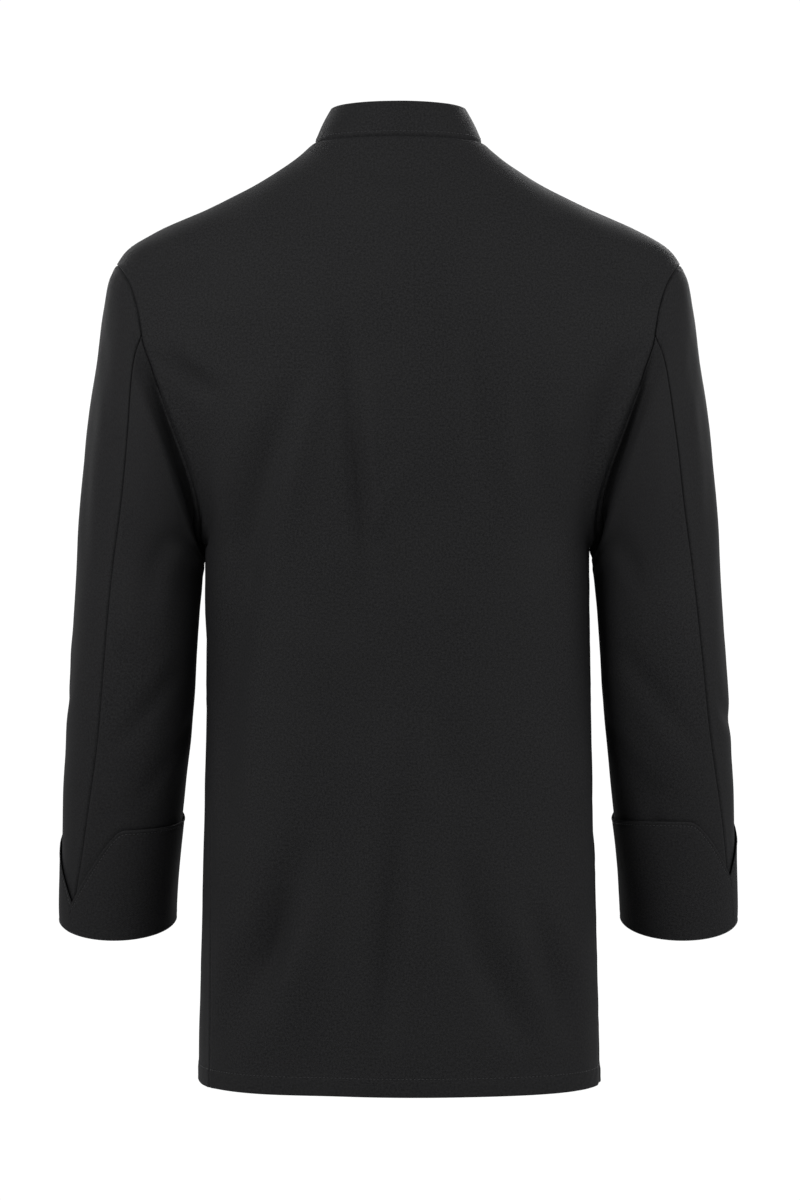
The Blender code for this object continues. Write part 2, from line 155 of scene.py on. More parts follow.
# How far each front reaches past the centre
FRONT_LAP = table(
    "height reach", (-BACK_LENGTH, 92), (-200, 92), (-103, 88), (-60, 70), (-30, 42), (-10, 18), (0, 7)
)
SLEEVE = table(
    "down outer_x outer_z inner_x inner_z y depth drop",
    (0, *SHOULDER_TIP, *UNDERARM, 0, ARMHOLE_DEPTH, 0),
    (14, 246.0, -118, 162.8, -347, 0, 76, 0),
    (34, 250.5, -142, 163.4, -350, 0, 78, 0),
    (66, 256, -182, 164.2, -354, 0, 78, 0),
    (112, 264, -240, 165.2, -360, 0, 76, 0),
    (168, 270.5, -315, 166.4, -368, 0, 73, 0),
    (222, 274.5, -375, 168.2, -388, 0, 71, 2),
    (275, 278.4, -430, 171.4, -432, -2, 69, 6),
    (330, 282, -486, 175.6, -486, -9, 65, 12),
    (402, 286.8, -556, 183.0, -556, -25, 59, 15),
    (470, 289.0, -620, 191.0, -620, -43, 53, 15),
    (SLEEVE_LENGTH, 290.5, -662, 194.0, -662, -55, 50, 14),
)
ARMHOLE_FADE = 120  # how far down the sleeve the armhole's own shape has gone
BACK_SEAM = table(
    "down left right",
    (0, 62, 62),
    (120, 74, 66),
    (220, 69, 60),
    (330, 65, 52),
    (430, 54, 38),
    (SLEEVE_LENGTH, 36, 24),
)
FRONT_SEAM = -140
# Foot of a cuff's slit, how far its curve reaches to the back and the front, and what the back is higher by
SLIT = {"left": (28, 40, 105, 9), "right": (50, 38, 70, 17)}


def curve(columns, name, at):
    """One column of a table, by a cubic through its rows that never overshoots them."""
    x, y = next(iter(columns.values())), columns[name]
    slope = np.diff(y) / np.diff(x)
    both = slope[:-1] * slope[1:]
    inner = np.where(both > 0, 2 * both / np.where(both > 0, slope[:-1] + slope[1:], 1), 0)
    tangent = np.concatenate([slope[:1], inner, slope[-1:]])
    at = np.asarray(at, float)
    i = np.clip(np.searchsorted(x, at) - 1, 0, len(slope) - 1)
    gap = np.diff(x)[i]
    t = np.clip((at - x[i]) / gap, 0, 1)
    return (
        (1 + 2 * t) * (1 - t) ** 2 * y[i]
        + t**2 * (3 - 2 * t) * y[i + 1]
        + gap * t * (1 - t) ** 2 * tangent[i]
        - gap * t**2 * (1 - t) * tangent[i + 1]
    )


def smooth(low, high, at):
    """0 below low, 1 above high, and a soft step between them."""
    t = np.clip((np.asarray(at, float) - low) / (high - low), 0, 1)
    return t * t * (3 - 2 * t)


def unit(vectors):
    return vectors / np.maximum(np.linalg.norm(vectors, axis=-1, keepdims=True), 1e-12)


def stack(x, y, z):
    return np.stack(np.broadcast_arrays(x, y, z), -1)


def bell(away, width):
    """1 at 0, falling softly to nothing past the width."""
    return np.exp(-((away / width) ** 2))


def reached(points):
    """How far along a line each of its points is."""
    return np.concatenate([[0], np.cumsum(np.linalg.norm(np.diff(points, axis=0), axis=1))])


# ---- Forms ---------------------------------------------------------------------------------------


def armhole_angle(height):
    """The angle at which the armhole seam is at a height, 0 at the tip and 180 at the underarm."""
    return np.degrees(np.arccos(np.clip((height - ARMHOLE_MIDDLE) / ARMHOLE_HALF, -1, 1)))


def armhole_height(angle):
    """The height at which the armhole seam is at an angle."""
    return ARMHOLE_MIDDLE + ARMHOLE_HALF * np.cos(np.radians(angle))


def bezier(s, a, b, c, d):
    r = 1 - s
    return r**3 * a + 3 * s * r**2 * b + 3 * s**2 * r * c + s**3 * d


def whole_row(height, s, side):
    """A point on the left half of a row, as if it had no armhole. side is 1 at the back, -1 at the front."""
    reach = curve(HALF_WIDTH, "reach", height)
    centre_y = np.where(side > 0, curve(BODY, "back_y", height), curve(BODY, "front_y", height))
    centre_z = np.where(side > 0, height, curve(BODY, "front_z", height))
    x = bezier(s, 0, curve(BODY, "centre_full", height) * reach, reach, reach)
    y = bezier(s, centre_y, centre_y, curve(BODY, "edge_full", height) * centre_y, 0)
    z = centre_z + (height - centre_z) * s**2 * (3 - 2 * s)
    return stack(x, y, z)


def halved(below, like, steps=32):
    """The share, in the shape of like, at which below(share) stops being true."""
    low, high = np.zeros_like(like), np.ones_like(like)
    for _ in range(steps):
        middle = (low + high) / 2
        short = below(middle)
        low, high = np.where(short, middle, low), np.where(short, high, middle)
    return low


def row_end(height, side):
    """The share of a whole half row at which the armhole cuts it off."""
    depth = ARMHOLE_DEPTH * np.sin(np.radians(armhole_angle(height)))
    cut = halved(lambda share: np.abs(whole_row(height, share, side)[..., 1]) > depth, height)
    return np.where(depth > 1e-6, cut, 1)


def end_of_row(height, side):
    """The same, where side may differ from place to place."""
    return np.where(side > 0, row_end(height, 1), row_end(height, -1))


def body(height, around):
    """A point of the body.

    around is 0 at the centre back, 1 at the left side, 2 at the centre front and 3 at the right side. It goes
    from -1 to 0 on the right half of the back.
    """
    height, around = np.asarray(height, float), np.asarray(around, float)
    mirror = np.where((around > 2) | (around < 0), -1, 1)
    around = np.where(around > 2, 4 - around, np.abs(around))
    side = np.where(around <= 1, 1, -1)
    share = np.where(side > 0, around, 2 - around) * end_of_row(height, side)
    return whole_row(height, share, side) * stack(mirror, 1, 1)


def tube(down, angle):
    """A point of the left sleeve's plain tube: so far down it, at an angle round it in degrees."""
    turn = np.radians(angle)
    names = list(SLEEVE)[1:]
    outer_x, outer_z, inner_x, inner_z, y, depth, drop = (curve(SLEEVE, name, down) for name in names)
    x = (outer_x + inner_x) / 2 + (outer_x - inner_x) / 2 * np.cos(turn)
    z = (outer_z + inner_z) / 2 + (outer_z - inner_z) / 2 * np.cos(turn) - drop * np.sin(turn)
    return stack(x, y + depth * np.sin(turn), z)


ARMHOLE_ANGLES = np.linspace(-180, 180, 1441)


def armhole_points(angle):
    """The armhole seam at these angles: 0 at the tip, 90 at the back and 180 at the underarm."""
    height = armhole_height(angle)
    side = np.where(angle < 0, -1, 1)
    return whole_row(height, end_of_row(height, side), side)


ARMHOLE_POINTS = armhole_points(ARMHOLE_ANGLES)


def at_armhole(values, angle):
    """Values known at ARMHOLE_ANGLES, read at other angles."""
    wrapped = (np.asarray(angle, float) + 180) % 360 - 180
    return stack(*(np.interp(wrapped, ARMHOLE_ANGLES, values[:, axis]) for axis in range(3)))


def section(down, angle):
    """A point of the left sleeve, which starts on the armhole seam and turns into a plain tube below it."""
    fade = np.clip(1 - np.asarray(down, float) / ARMHOLE_FADE, 0, 1)[..., None] ** 2
    return tube(down, angle) + fade * (at_armhole(ARMHOLE_POINTS, angle) - tube(0, angle))


def armhole_normals():
    """The way out at the left armhole seam: halfway between the body's and the sleeve's.

    Where the two hang back to back, as under the arm, it points the way they hang.
    """
    height, step = armhole_height(ARMHOLE_ANGLES), 0.004

    def beside(edge, low, high):
        up = body(height + 1, edge) - body(height - 1, edge)
        return unit(np.cross(up, body(height, high) - body(height, low)))

    at_back = (ARMHOLE_ANGLES >= 0)[:, None]
    of_body = np.where(at_back, beside(1, 1 - step, 1), beside(PAST_SIDE, PAST_SIDE, 1 + step))
    top = 0 * height
    along = unit(section(top, ARMHOLE_ANGLES + 1) - section(top, ARMHOLE_ANGLES - 1))
    way_down = section(top + 1, ARMHOLE_ANGLES) - section(top, ARMHOLE_ANGLES)
    of_sleeve = unit(np.cross(way_down, along))
    inward = np.cross(of_body, along) + np.cross(along, of_sleeve)
    folded = np.clip(1 - np.linalg.norm(of_body + of_sleeve, axis=-1, keepdims=True), 0, 1)
    return unit(of_body + of_sleeve + folded * inward)


ARMHOLE_NORMALS = armhole_normals()
# Along the body's face at the left armhole, away from the body
ARMHOLE_WAYS_OUT = np.cross(np.gradient(ARMHOLE_POINTS, axis=0), ARMHOLE_NORMALS)
ARMHOLE_WAYS_OUT = unit(ARMHOLE_WAYS_OUT * np.sign(ARMHOLE_WAYS_OUT[:, :1]))


# ---- Grids of cloth ------------------------------------------------------------------------------


def spaced(length, near_start=NEAR_EDGE, near_end=NEAR_EDGE, spacing=GRID):
    """Distances from 0 to length, close together near the ends and evenly spaced between."""
    count = max(2, round((length - near_start[-1] - near_end[-1]) / spacing))
    middle = np.linspace(near_start[-1], length - near_end[-1], count + 1)[1:-1]
    return np.concatenate([near_start, middle, length - np.array(near_end)[::-1]])


def columns(place, start, end, spacing=GRID):
    """Places along each row from start to end, closer near its ends, and how far they are from both."""
    at = start + (end - start) * np.linspace(0, 1, 121)[None, :]
    steps = np.linalg.norm(np.diff(place(at), axis=1), axis=-1)
    walked = np.concatenate([np.zeros((len(at), 1)), np.cumsum(steps, 1)], 1)
    total = walked[:, -1:]
    plan = spaced(float(total.max()), spacing=spacing)
    near = len(NEAR_EDGE)
    middle = (plan[near:-near] - NEAR_EDGE[-1]) / (plan[-1] - 2 * NEAR_EDGE[-1])
    first = np.broadcast_to(NEAR_EDGE, (len(at), near))
    last = total - np.array(NEAR_EDGE)[::-1]
    from_start = np.concatenate([first, NEAR_EDGE[-1] + (total - 2 * NEAR_EDGE[-1]) * middle, last], 1)
    places = np.stack([np.interp(wanted, known, row) for wanted, known, row in zip(from_start, walked, at)])
    return places, from_start, total - from_start


def grid_normals(points):
    """The way out at each point of a grid whose rows run up and columns to the left, seen from outside."""
    return unit(np.cross(np.gradient(points, axis=0), np.gradient(points, axis=1)))


def line_distance(u, v, points):
    """How far each (u, v) is from a smooth line through the points, how far along it and on which side."""
    p = np.array(points, float)
    if len(p) > 2:
        ends = np.concatenate([2 * p[:1] - p[1:2], p, 2 * p[-1:] - p[-2:-1]])
        t = np.linspace(0, 1, 9)[:-1, None]
        bits = [
            0.5 * (2 * b + (c - a) * t + (2 * a - 5 * b + 4 * c - d) * t**2 + (3 * b - a - 3 * c + d) * t**3)
            for a, b, c, d in zip(ends[:-3], ends[1:-2], ends[2:-1], ends[3:])
        ]
        p = np.concatenate([*bits, p[-1:]])
    before = reached(p)
    best, along, signed = np.full(u.shape, FAR), np.zeros(u.shape), np.zeros(u.shape)
    for start, end, done in zip(p[:-1], p[1:], before):
        length = np.linalg.norm(end - start)
        d = (end - start) / length
        held = np.clip((u - start[0]) * d[0] + (v - start[1]) * d[1], 0, length)
        distance = np.hypot(u - start[0] - held * d[0], v - start[1] - held * d[1])
        near = distance < best
        side = np.sign((u - start[0]) * d[1] - (v - start[1]) * d[0])
        best = np.where(near, distance, best)
        along = np.where(near, (done + held) / before[-1], along)
        signed = np.where(near, side, signed)
    return best, along, signed


def folds(u, v, plan):
    """The rise of soft folds at (u, v). Each is (depth, width, lean, points): a trough if depth is negative.

    lean sets a rise of the other sign beside it, to the right of the way the points run if lean is positive.
    """
    rise = np.zeros(u.shape)
    for depth, width, lean, *points in plan:
        distance, along, side = line_distance(u, v, points)
        taper = np.sin(np.pi * np.clip(along, 0.02, 0.98)) ** 0.8
        rise += depth * taper * bell(distance, width)
        if lean:
            beside = side * np.sign(lean) * distance - 1.7 * width
            rise -= 0.6 * depth * abs(lean) * taper * bell(beside, 1.2 * width)
    return rise


def ripple(u, v, size, seed):
    """Smooth random rise and fall between about -1 and 1, with bumps of that size."""
    values = np.random.default_rng(seed).uniform(-1, 1, (64, 64))
    x, y = u / size + 31.5, v / size + 31.5
    i, j = np.floor(x).astype(int), np.floor(y).astype(int)
    s, t = x - i, y - j
    s, t = s * s * (3 - 2 * s), t * t * (3 - 2 * t)
    i, j, ii, jj = i % 64, j % 64, (i + 1) % 64, (j + 1) % 64
    low = values[i, j] * (1 - s) + values[ii, j] * s
    high = values[i, jj] * (1 - s) + values[ii, jj] * s
    return low * (1 - t) + high * t


def seam(away, along, pucker=0.22, seed=1):
    """The groove of a seam, the faint ridge of its allowance and the ripples that the stitches draw in."""
    depth, half = SEAM_GROOVE
    height, place, wide = SEAM_RIDGE
    pressed = height * bell(away - place, wide) - depth * bell(away, half)
    wave = ripple(along, away * 0.35, 7, seed)
    return pressed + pucker * wave * bell(away, PUCKER_REACH) * smooth(0, 2.5, away)


def stitched(away, depth=0.3):
    """The shallow furrow that a line of stitches draws in."""
    return -depth * bell(away, 1.1)


def rounded(away, thickness):
    """How far a free edge's faces close in on each other, so that it is round and not square."""
    return 0.42 * thickness * bell(away, 0.6)


class Piece:
    """A piece of cloth: a grid of points, the way out at each and how far each is from the edges."""

    def __init__(self, name, points, from_start, from_end, from_bottom, from_top, u, v, flip=1):
        self.name = name
        self.points = points
        self.normals = grid_normals(points)
        self.flip = flip  # -1 for a piece of the right side, whose points are those of the left one
        rows = (from_start, from_end, from_bottom, from_top, u, v)
        rows = [np.broadcast_to(row, points.shape[:2]) for row in rows]
        self.from_start, self.from_end, self.from_bottom, self.from_top, self.u, self.v = rows
        self.rise = sum(
            height * ripple(self.u, self.v * stretch, size, seed) for size, stretch, height, seed in WRINKLES
        )
        self.thickness = CLOTH
        self.free = np.full(points.shape[:2], FAR)  # distance from the nearest free edge

    def face(self, beyond=0):
        """The points of its outer face, or of one that lies so far beyond it."""
        return (self.points + self.normals * (self.rise + beyond)[..., None]) * (self.flip, 1, 1)

    def out(self):
        return self.normals * (self.flip, 1, 1)


def mesh_object(name, points, faces, finish, sharp_angle=180):
    mesh = bpy.data.meshes.new(name)
    mesh.vertices.add(len(points))
    mesh.vertices.foreach_set("co", (np.asarray(points, np.float64) * MM).astype(np.float32).ravel())
    faces = np.asarray(faces, np.int32)
    mesh.loops.add(faces.size)
    mesh.loops.foreach_set("vertex_index", faces.ravel())
    mesh.polygons.add(len(faces))
    mesh.polygons.foreach_set("loop_start", np.arange(0, faces.size, faces.shape[1], dtype=np.int32))
    mesh.update(calc_edges=True)
    mesh.validate()
    mesh.materials.append(finish)
    mesh.shade_smooth()
    if sharp_angle < 180:
        mesh.set_sharp_from_angle(angle=math.radians(sharp_angle))
    made = bpy.data.objects.new(name, mesh)
    bpy.context.scene.collection.objects.link(made)
    return made


def cloth_object(piece, finish):
    """The piece as a closed thin wall, with its weave's directions as a UV map in metres."""
    close = rounded(piece.free, piece.thickness)
    points = np.stack([piece.face(-close), piece.face(close - piece.thickness)]).reshape(-1, 3)
    index = np.arange(piece.u.size).reshape(piece.u.shape)
    quads = np.stack([index[:-1, :-1], index[:-1, 1:], index[1:, 1:], index[1:, :-1]], -1).reshape(-1, 4)
    rim = np.concatenate([index[0, :-1], index[:-1, -1], index[-1, :0:-1], index[:0:-1, 0]])
    after = np.roll(rim, -1)
    sides = np.stack([after, rim, rim + index.size, after + index.size], -1)
    faces = np.concatenate([quads, quads[:, ::-1] + index.size, sides])
    corner, beside, above = (points[quads[:, k]] for k in (0, 1, 3))
    facing = np.cross(beside - corner, above - corner) * piece.out().reshape(-1, 3)[quads[:, 0]]
    if np.sum(facing) < 0:
        faces = faces[:, ::-1]
    made = mesh_object(f"{piece.name}_cloth", points, faces, finish)
    weave = np.stack([piece.u, piece.v], -1).reshape(-1, 2)
    weave = np.concatenate([weave, weave]) * MM
    layer = made.data.uv_layers.new(name="weave")
    corners = np.zeros(len(made.data.loops), np.int32)
    made.data.loops.foreach_get("vertex_index", corners)
    layer.uv.foreach_set("vector", weave[corners].astype(np.float32).ravel())
    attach(made, "root")
    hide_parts(piece.name)
    return made


def body_rows(front):
    """Heights of the rows of a body panel, from the hem up, close together at the hem and the neck."""
    near_hem = (*NEAR_EDGE, 11, 14, 15.2, 16, 16.8, 18, 20.5, 24)
    below = spaced(UNDERARM[1] + BACK_LENGTH, near_hem, (0, 3.5))
    angles = ARMHOLE_ANGLES[ARMHOLE_ANGLES <= 0] if front else ARMHOLE_ANGLES[ARMHOLE_ANGLES >= 0]
    along = reached(armhole_points(angles))
    wanted = np.linspace(0, along[-1], round(along[-1] / GRID) + 1)
    heights = np.sort(armhole_height(np.interp(wanted, along, angles)))
    above = spaced(-SHOULDER_TIP[1] * 1.25, (0, 3)) / 1.25 + SHOULDER_TIP[1]
    return np.concatenate([below[:-1] - BACK_LENGTH, heights, above[1:]])[:, None]


def armhole_edge(piece, height, column, angle_sign, mirror):
    """Gives an edge of a panel the normals that it shares with the sleeve at the armhole."""
    on_armhole = (height >= UNDERARM[1] - 1e-6) & (height <= SHOULDER_TIP[1] + 1e-6)
    shared = at_armhole(ARMHOLE_NORMALS, armhole_angle(height[:, 0]) * angle_sign) * (mirror, 1, 1)
    piece.normals[:, column] = np.where(on_armhole, shared, piece.normals[:, column])


def seam_edge(piece, height, around, column, mirror):
    """Gives an edge of a panel the normals that it shares with the panel sewn to it."""
    below, above = np.maximum(height - 1, -BACK_LENGTH), np.minimum(height + 1, 0)
    up = body(above, around) - body(below, around)
    across = body(height, around + 0.02) - body(height, around - 0.02)
    shared = unit(np.cross(up, across))[:, 0] * (mirror, 1, 1)
    facing = np.sign(np.sum(shared * piece.normals[:, column], axis=-1, keepdims=True))
    piece.normals[:, column] = shared * facing


def body_panel(name, height, start, end, u_start, flip=1):
    """A panel of the body between two places round it. u is 0 at that share of the way along each row."""
    around, from_start, from_end = columns(lambda at: body(height, at), start, end)
    u = from_start * (1 - u_start) - from_end * u_start
    points, up = body(height, around), height - height[0]
    piece = Piece(name, points, from_start, from_end, up, -height, u, height, flip)
    piece.around = around
    return piece


def make_back():
    height = body_rows(False)
    start = -1 + curve(SIDE_SEAM, "right", height)
    end = 1 - curve(SIDE_SEAM, "left", height)
    piece = body_panel("back", height, start, end, 0.5)
    seam_edge(piece, height, end, -1, 1)
    seam_edge(piece, height, -start, 0, -1)
    armhole_edge(piece, height, -1, 1, 1)
    armhole_edge(piece, height, 0, 1, -1)
    return piece


def lap_share(height):
    """The share of its half row that a front's reach past the centre takes."""
    reach, end, front = curve(FRONT_LAP, "reach", height), row_end(height, -1), -np.ones_like(height)
    return halved(lambda share: whole_row(height, share * end, front)[..., 0] < reach, height)


def make_front(side, over):
    """A front, modelled as a left one. The one that laps over the other stands proud of it by a layer."""
    height = body_rows(True)
    lap = lap_share(height)
    start = np.where(height > SIDE_SEAM_TOP + 1e-6, PAST_SIDE, 1 - curve(SIDE_SEAM, side, height))
    piece = body_panel(f"front_{side}", height, start, 2 + lap, 0, 1 if over else -1)
    seam_edge(piece, height, start, 0, 1)
    armhole_edge(piece, height, 0, -1, 1)
    if over:
        piece.rise += LAP_RISE * smooth(0, 1, 1 - (2 - lap - piece.around) / 0.35)
    piece.free = np.minimum(piece.from_end, piece.from_bottom)
    return piece


def make_collar():
    """The stand collar, from its right front end round the back of the neck to its left one."""
    lap = float(lap_share(np.zeros((1, 1)))[0, 0])
    up = spaced(COLLAR_HEIGHT, spacing=2.6)[:, None]
    top = COLLAR_HEIGHT - up

    def place(around):
        right_front = around < -1
        mirror = stack(np.where(right_front, -1, 1), 1, 1)
        base = body(0 * around, np.where(right_front, -around, around)) * mirror
        swell = 1.2 * np.sin(np.pi * up / COLLAR_HEIGHT)
        lean = up / COLLAR_HEIGHT
        tucked = 0.9 * (1 - smooth(0, 1.4, up))
        leaning = base * stack(1 - 0.2 * lean, 1 - 0.12 * lean, 1) + stack(0, 0, up - tucked)
        return leaning + unit(base) * swell[..., None]

    ends = np.full_like(up, 2 - lap)
    around, from_start, from_end = columns(place, -ends, ends, spacing=3)
    piece = Piece("collar", place(around), from_start, from_end, up, top, (from_start - from_end) / 2, up)
    piece.thickness = COLLAR_CLOTH
    piece.free = np.minimum(np.minimum(from_start, from_end), top)
    return piece


def make_sleeve(arm, part):
    """One of the two pieces of a sleeve, modelled as a left one."""
    down = SLEEVE_LENGTH - spaced(SLEEVE_LENGTH, (0, 2, 4))[:, None]
    back_seam = curve(BACK_SEAM, arm, down)
    front_seam = np.full_like(down, FRONT_SEAM)
    start, end = (front_seam, back_seam) if part == "upper" else (back_seam, 360 + front_seam)
    angle, from_start, from_end = columns(lambda at: section(down, at), start, end)
    piece = Piece(
        f"sleeve_{arm}_{part}",
        section(down, angle),
        from_start,
        from_end,
        SLEEVE_LENGTH - down,
        down,
        from_start,
        -down,
        1 if arm == "left" else -1,
    )
    piece.normals *= -1
    piece.normals[-1] = at_armhole(ARMHOLE_NORMALS, angle[-1])
    piece.angle = angle
    return piece


def cuff_rise(angle, arm):
    """The height of the cuff's edge above its turned end. It drops to the slit at the sleeve's back seam."""
    foot, back_reach, front_reach, more = SLIT[arm]
    past_seam = np.radians(angle - curve(BACK_SEAM, arm, CUFF_MIDDLE)) * ARM_RADIUS_AT_CUFF
    short_of_it = 2 * np.pi * ARM_RADIUS_AT_CUFF - past_seam
    clear = np.minimum(np.clip(past_seam / back_reach, 0, 1), np.clip(short_of_it / front_reach, 0, 1))
    top = CUFF_DEPTH + more * np.maximum(np.sin(np.radians(angle)), 0)
    return foot + (top - foot) * np.sin(clear * math.pi / 2)


def make_cuff(arm):
    """The sleeve's end turned back over it, from inside the turned end up to the cuff's edge and its slit."""
    middle = float(curve(BACK_SEAM, arm, CUFF_MIDDLE))
    start = np.full((1, 1), middle)
    angle, from_start, from_end = columns(lambda at: section(CUFF_MIDDLE, at), start, start + 360, spacing=3)
    edge = cuff_rise(angle, arm)
    turn = np.radians(np.linspace(180, 12, 9))[:, None]  # the turned end, from inside the sleeve to outside
    near_top = [near / CUFF_DEPTH for near in NEAR_EDGE]
    share = spaced(1.0, (0, 0.012, 0.03), near_top, spacing=3 / CUFF_DEPTH)[:, None]
    up = np.concatenate([np.zeros_like(turn), share]) * edge
    turn = np.concatenate([turn, np.zeros_like(share)])
    down = SLEEVE_LENGTH - up
    # the columns follow the sleeve's back seam, which leans
    lean = curve(BACK_SEAM, arm, down) - middle
    angle = angle + lean * (1 - smooth(0, 90, np.abs((angle - middle + 180) % 360 - 180)))
    end = np.full_like(down, SLEEVE_LENGTH)
    way_down = unit(section(end, angle) - section(end - 2, angle))
    along = section(down + 0.5, angle) - section(down - 0.5, angle)
    out = unit(np.cross(along, section(down, angle + 1) - section(down, angle - 1)))
    roll = CUFF_RISE / 2 + 0.4
    outwards = (CUFF_RISE / 2 * (1 + np.cos(turn)))[..., None]
    points = section(down, angle) + out * outwards + way_down * (roll * np.sin(turn))[..., None]
    from_top = (edge - up) / np.sqrt(1 + np.gradient(edge[0], from_start[0]) ** 2)
    from_inside = up + roll * (np.pi / 2 - turn) * (turn > 0)
    flip = 1 if arm == "left" else -1
    piece = Piece(f"cuff_{arm}", points, from_start, from_end, from_inside, from_top, from_start, up, flip)
    piece.normals *= -1
    piece.free = piece.from_top
    return piece


# ---- Stitches ------------------------------------------------------------------------------------


def line_on(piece, edge, distance):
    """Points and ways out of the line on the piece's face that lies so far from one of its edges."""
    away, surface, out = getattr(piece, f"from_{edge}"), piece.face(), piece.out()
    if edge in ("bottom", "top"):
        away, surface, out = away.T, surface.transpose(1, 0, 2), out.transpose(1, 0, 2)
    if edge in ("end", "top"):
        away, surface, out = away[:, ::-1], surface[:, ::-1], out[:, ::-1]
    found = [
        [[np.interp(distance, row, at[:, axis]) for axis in range(3)] for row, at in zip(away, values)]
        for values in (surface, out)
    ]
    return np.array(found[0]), unit(np.array(found[1]))


def resampled(points, ways, spacing):
    """Evenly spaced points on a line, with the way out and the way along at each."""
    known = reached(points)
    count = max(2, int(known[-1] / spacing))
    at = (np.arange(count) + 0.5) * known[-1] / count

    def read(values, where):
        return np.stack([np.interp(where, known, values[:, axis]) for axis in range(3)], -1)

    return read(points, at), unit(read(ways, at)), unit(read(points, at + 0.6) - read(points, at - 0.6))


def thread_marks(centres, ways, along, length, thickness, proud=0.12):
    """Points and faces of short rounded stitches, one at each centre, whose ends dip into the cloth."""
    sides = 5
    turns = np.arange(sides) * 2 * np.pi / sides
    ring = np.stack([np.cos(turns), np.sin(turns)], -1) * thickness / 2
    across = unit(np.cross(along, ways))
    rows = [(-0.5, 0, 0, -0.34)]
    for place in (-0.3, 0.3):
        rows += [(place, x, z, proud) for x, z in ring]
    shape = np.array([*rows, (0.5, 0, 0, -0.34)])
    points = (
        centres[:, None]
        + along[:, None] * (shape[:, 0] * length)[None, :, None]
        + across[:, None] * shape[:, 1][None, :, None]
        + ways[:, None] * (shape[:, 2] + shape[:, 3])[None, :, None]
    )
    faces = []
    for k in range(sides):
        n = (k + 1) % sides
        faces += [(0, 1 + n, 1 + k), (1 + k, 1 + n, 6 + n), (1 + k, 6 + n, 6 + k), (11, 6 + k, 6 + n)]
    faces = np.array(faces)[None] + (np.arange(len(centres)) * len(shape))[:, None, None]
    return points.reshape(-1, 3), faces.reshape(-1, 3)


def thread_object(name, marks, sharp_angle=180):
    """One object of many thread marks, each (points, faces)."""
    points, faces, done = [], [], 0
    for mark_points, mark_faces in marks:
        points.append(mark_points)
        faces.append(mark_faces + done)
        done += len(mark_points)
    made = mesh_object(name, np.concatenate(points), np.concatenate(faces), thread, sharp_angle)
    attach(made, "root")
    return made


# ---- Materials -----------------------------------------------------------------------------------


class Nodes:
    """A new material's node tree, with short ways to add to it."""

    def __init__(self, name):
        self.material = bpy.data.materials.new(name)
        self.material.use_nodes = True
        self.tree = self.material.node_tree

    def put(self, node, inputs):
        """Sets inputs of a node, by name or number, to values or to what other nodes give out."""
        for key, value in inputs.items():
            if isinstance(value, bpy.types.NodeSocket):
                self.tree.links.new(value, node.inputs[key])
            else:
                node.inputs[key].default_value = value

    def add(self, kind, output, inputs, **settings):
        node = self.tree.nodes.new(f"ShaderNode{kind}")
        for key, value in settings.items():
            setattr(node, key, value)
        self.put(node, inputs)
        return node.outputs[output]

    def finish(self, **inputs):
        """Sets the shader's inputs, whose names have _ for each space here, and gives the material."""
        shader = self.tree.nodes["Principled BSDF"]
        self.put(shader, {key.replace("_", " "): value for key, value in inputs.items()})
        return self.material

    def noise(self, at, scale, detail, rough=0.5):
        inputs = {"Vector": at, "Scale": scale, "Detail": detail, "Roughness": rough}
        return self.add("TexNoise", "Fac", inputs)

    def math(self, operation, a, b):
        return self.add("Math", 0, {0: a, 1: b}, operation=operation)

    def mix(self, share, a, b):
        return self.add("Mix", 2, {0: share, 6: a, 7: b}, data_type="RGBA")

    def spread(self, value, low, high, least, most):
        """The value, moved from the range low to high to the range least to most."""
        inputs = {"Value": value, "From Min": low, "From Max": high, "To Min": least, "To Max": most}
        return self.add("MapRange", "Result", inputs)

    def bump(self, strength, distance, height):
        inputs = {"Strength": strength, "Distance": distance, "Height": height}
        return self.add("Bump", "Normal", inputs)


def cloth_material():
    """Black polyester-cotton twill: diagonal wales, a slightly heathered colour and a faint sheen."""
    n = Nodes("black_twill")
    flat = n.add("UVMap", "UV", {}, uv_map="weave")
    weave = {"Vector": flat, "Scale": WALE_SCALE, "Distortion": 0.6, "Detail": 1.0, "Detail Scale": 2.0}
    wales = n.add("TexWave", "Fac", weave, wave_type="BANDS", bands_direction="DIAGONAL", wave_profile="SIN")
    yarn = n.noise(flat, 1500.0, 2.0, 0.6)
    heather = n.noise(flat, 560.0, 3.0, 0.8)
    wear = n.noise(flat, 9.0, 3.0, 0.55)
    shade = n.math("ADD", n.math("MULTIPLY", heather, 0.6), n.math("MULTIPLY", yarn, 0.4))
    colour = n.mix(n.spread(shade, 0.4, 0.6, 0.0, 1.0), DARK_YARN, LIGHT_YARN)
    worn = n.math("MULTIPLY", n.math("SUBTRACT", wear, 0.5), 0.5)
    height = n.math("ADD", n.math("MULTIPLY", wales, 0.7), n.math("MULTIPLY", yarn, 0.5))
    return n.finish(
        Base_Color=n.mix(n.math("ADD", worn, 0.2), colour, WORN_YARN),
        Roughness=n.spread(yarn, 0.3, 0.7, 0.68, 0.82),
        Specular_IOR_Level=0.07,
        Sheen_Weight=0.008,
        Sheen_Roughness=0.45,
        Sheen_Tint=(0.9, 0.93, 1.0, 1.0),
        Normal=n.bump(0.35, 0.00012, height),
    )


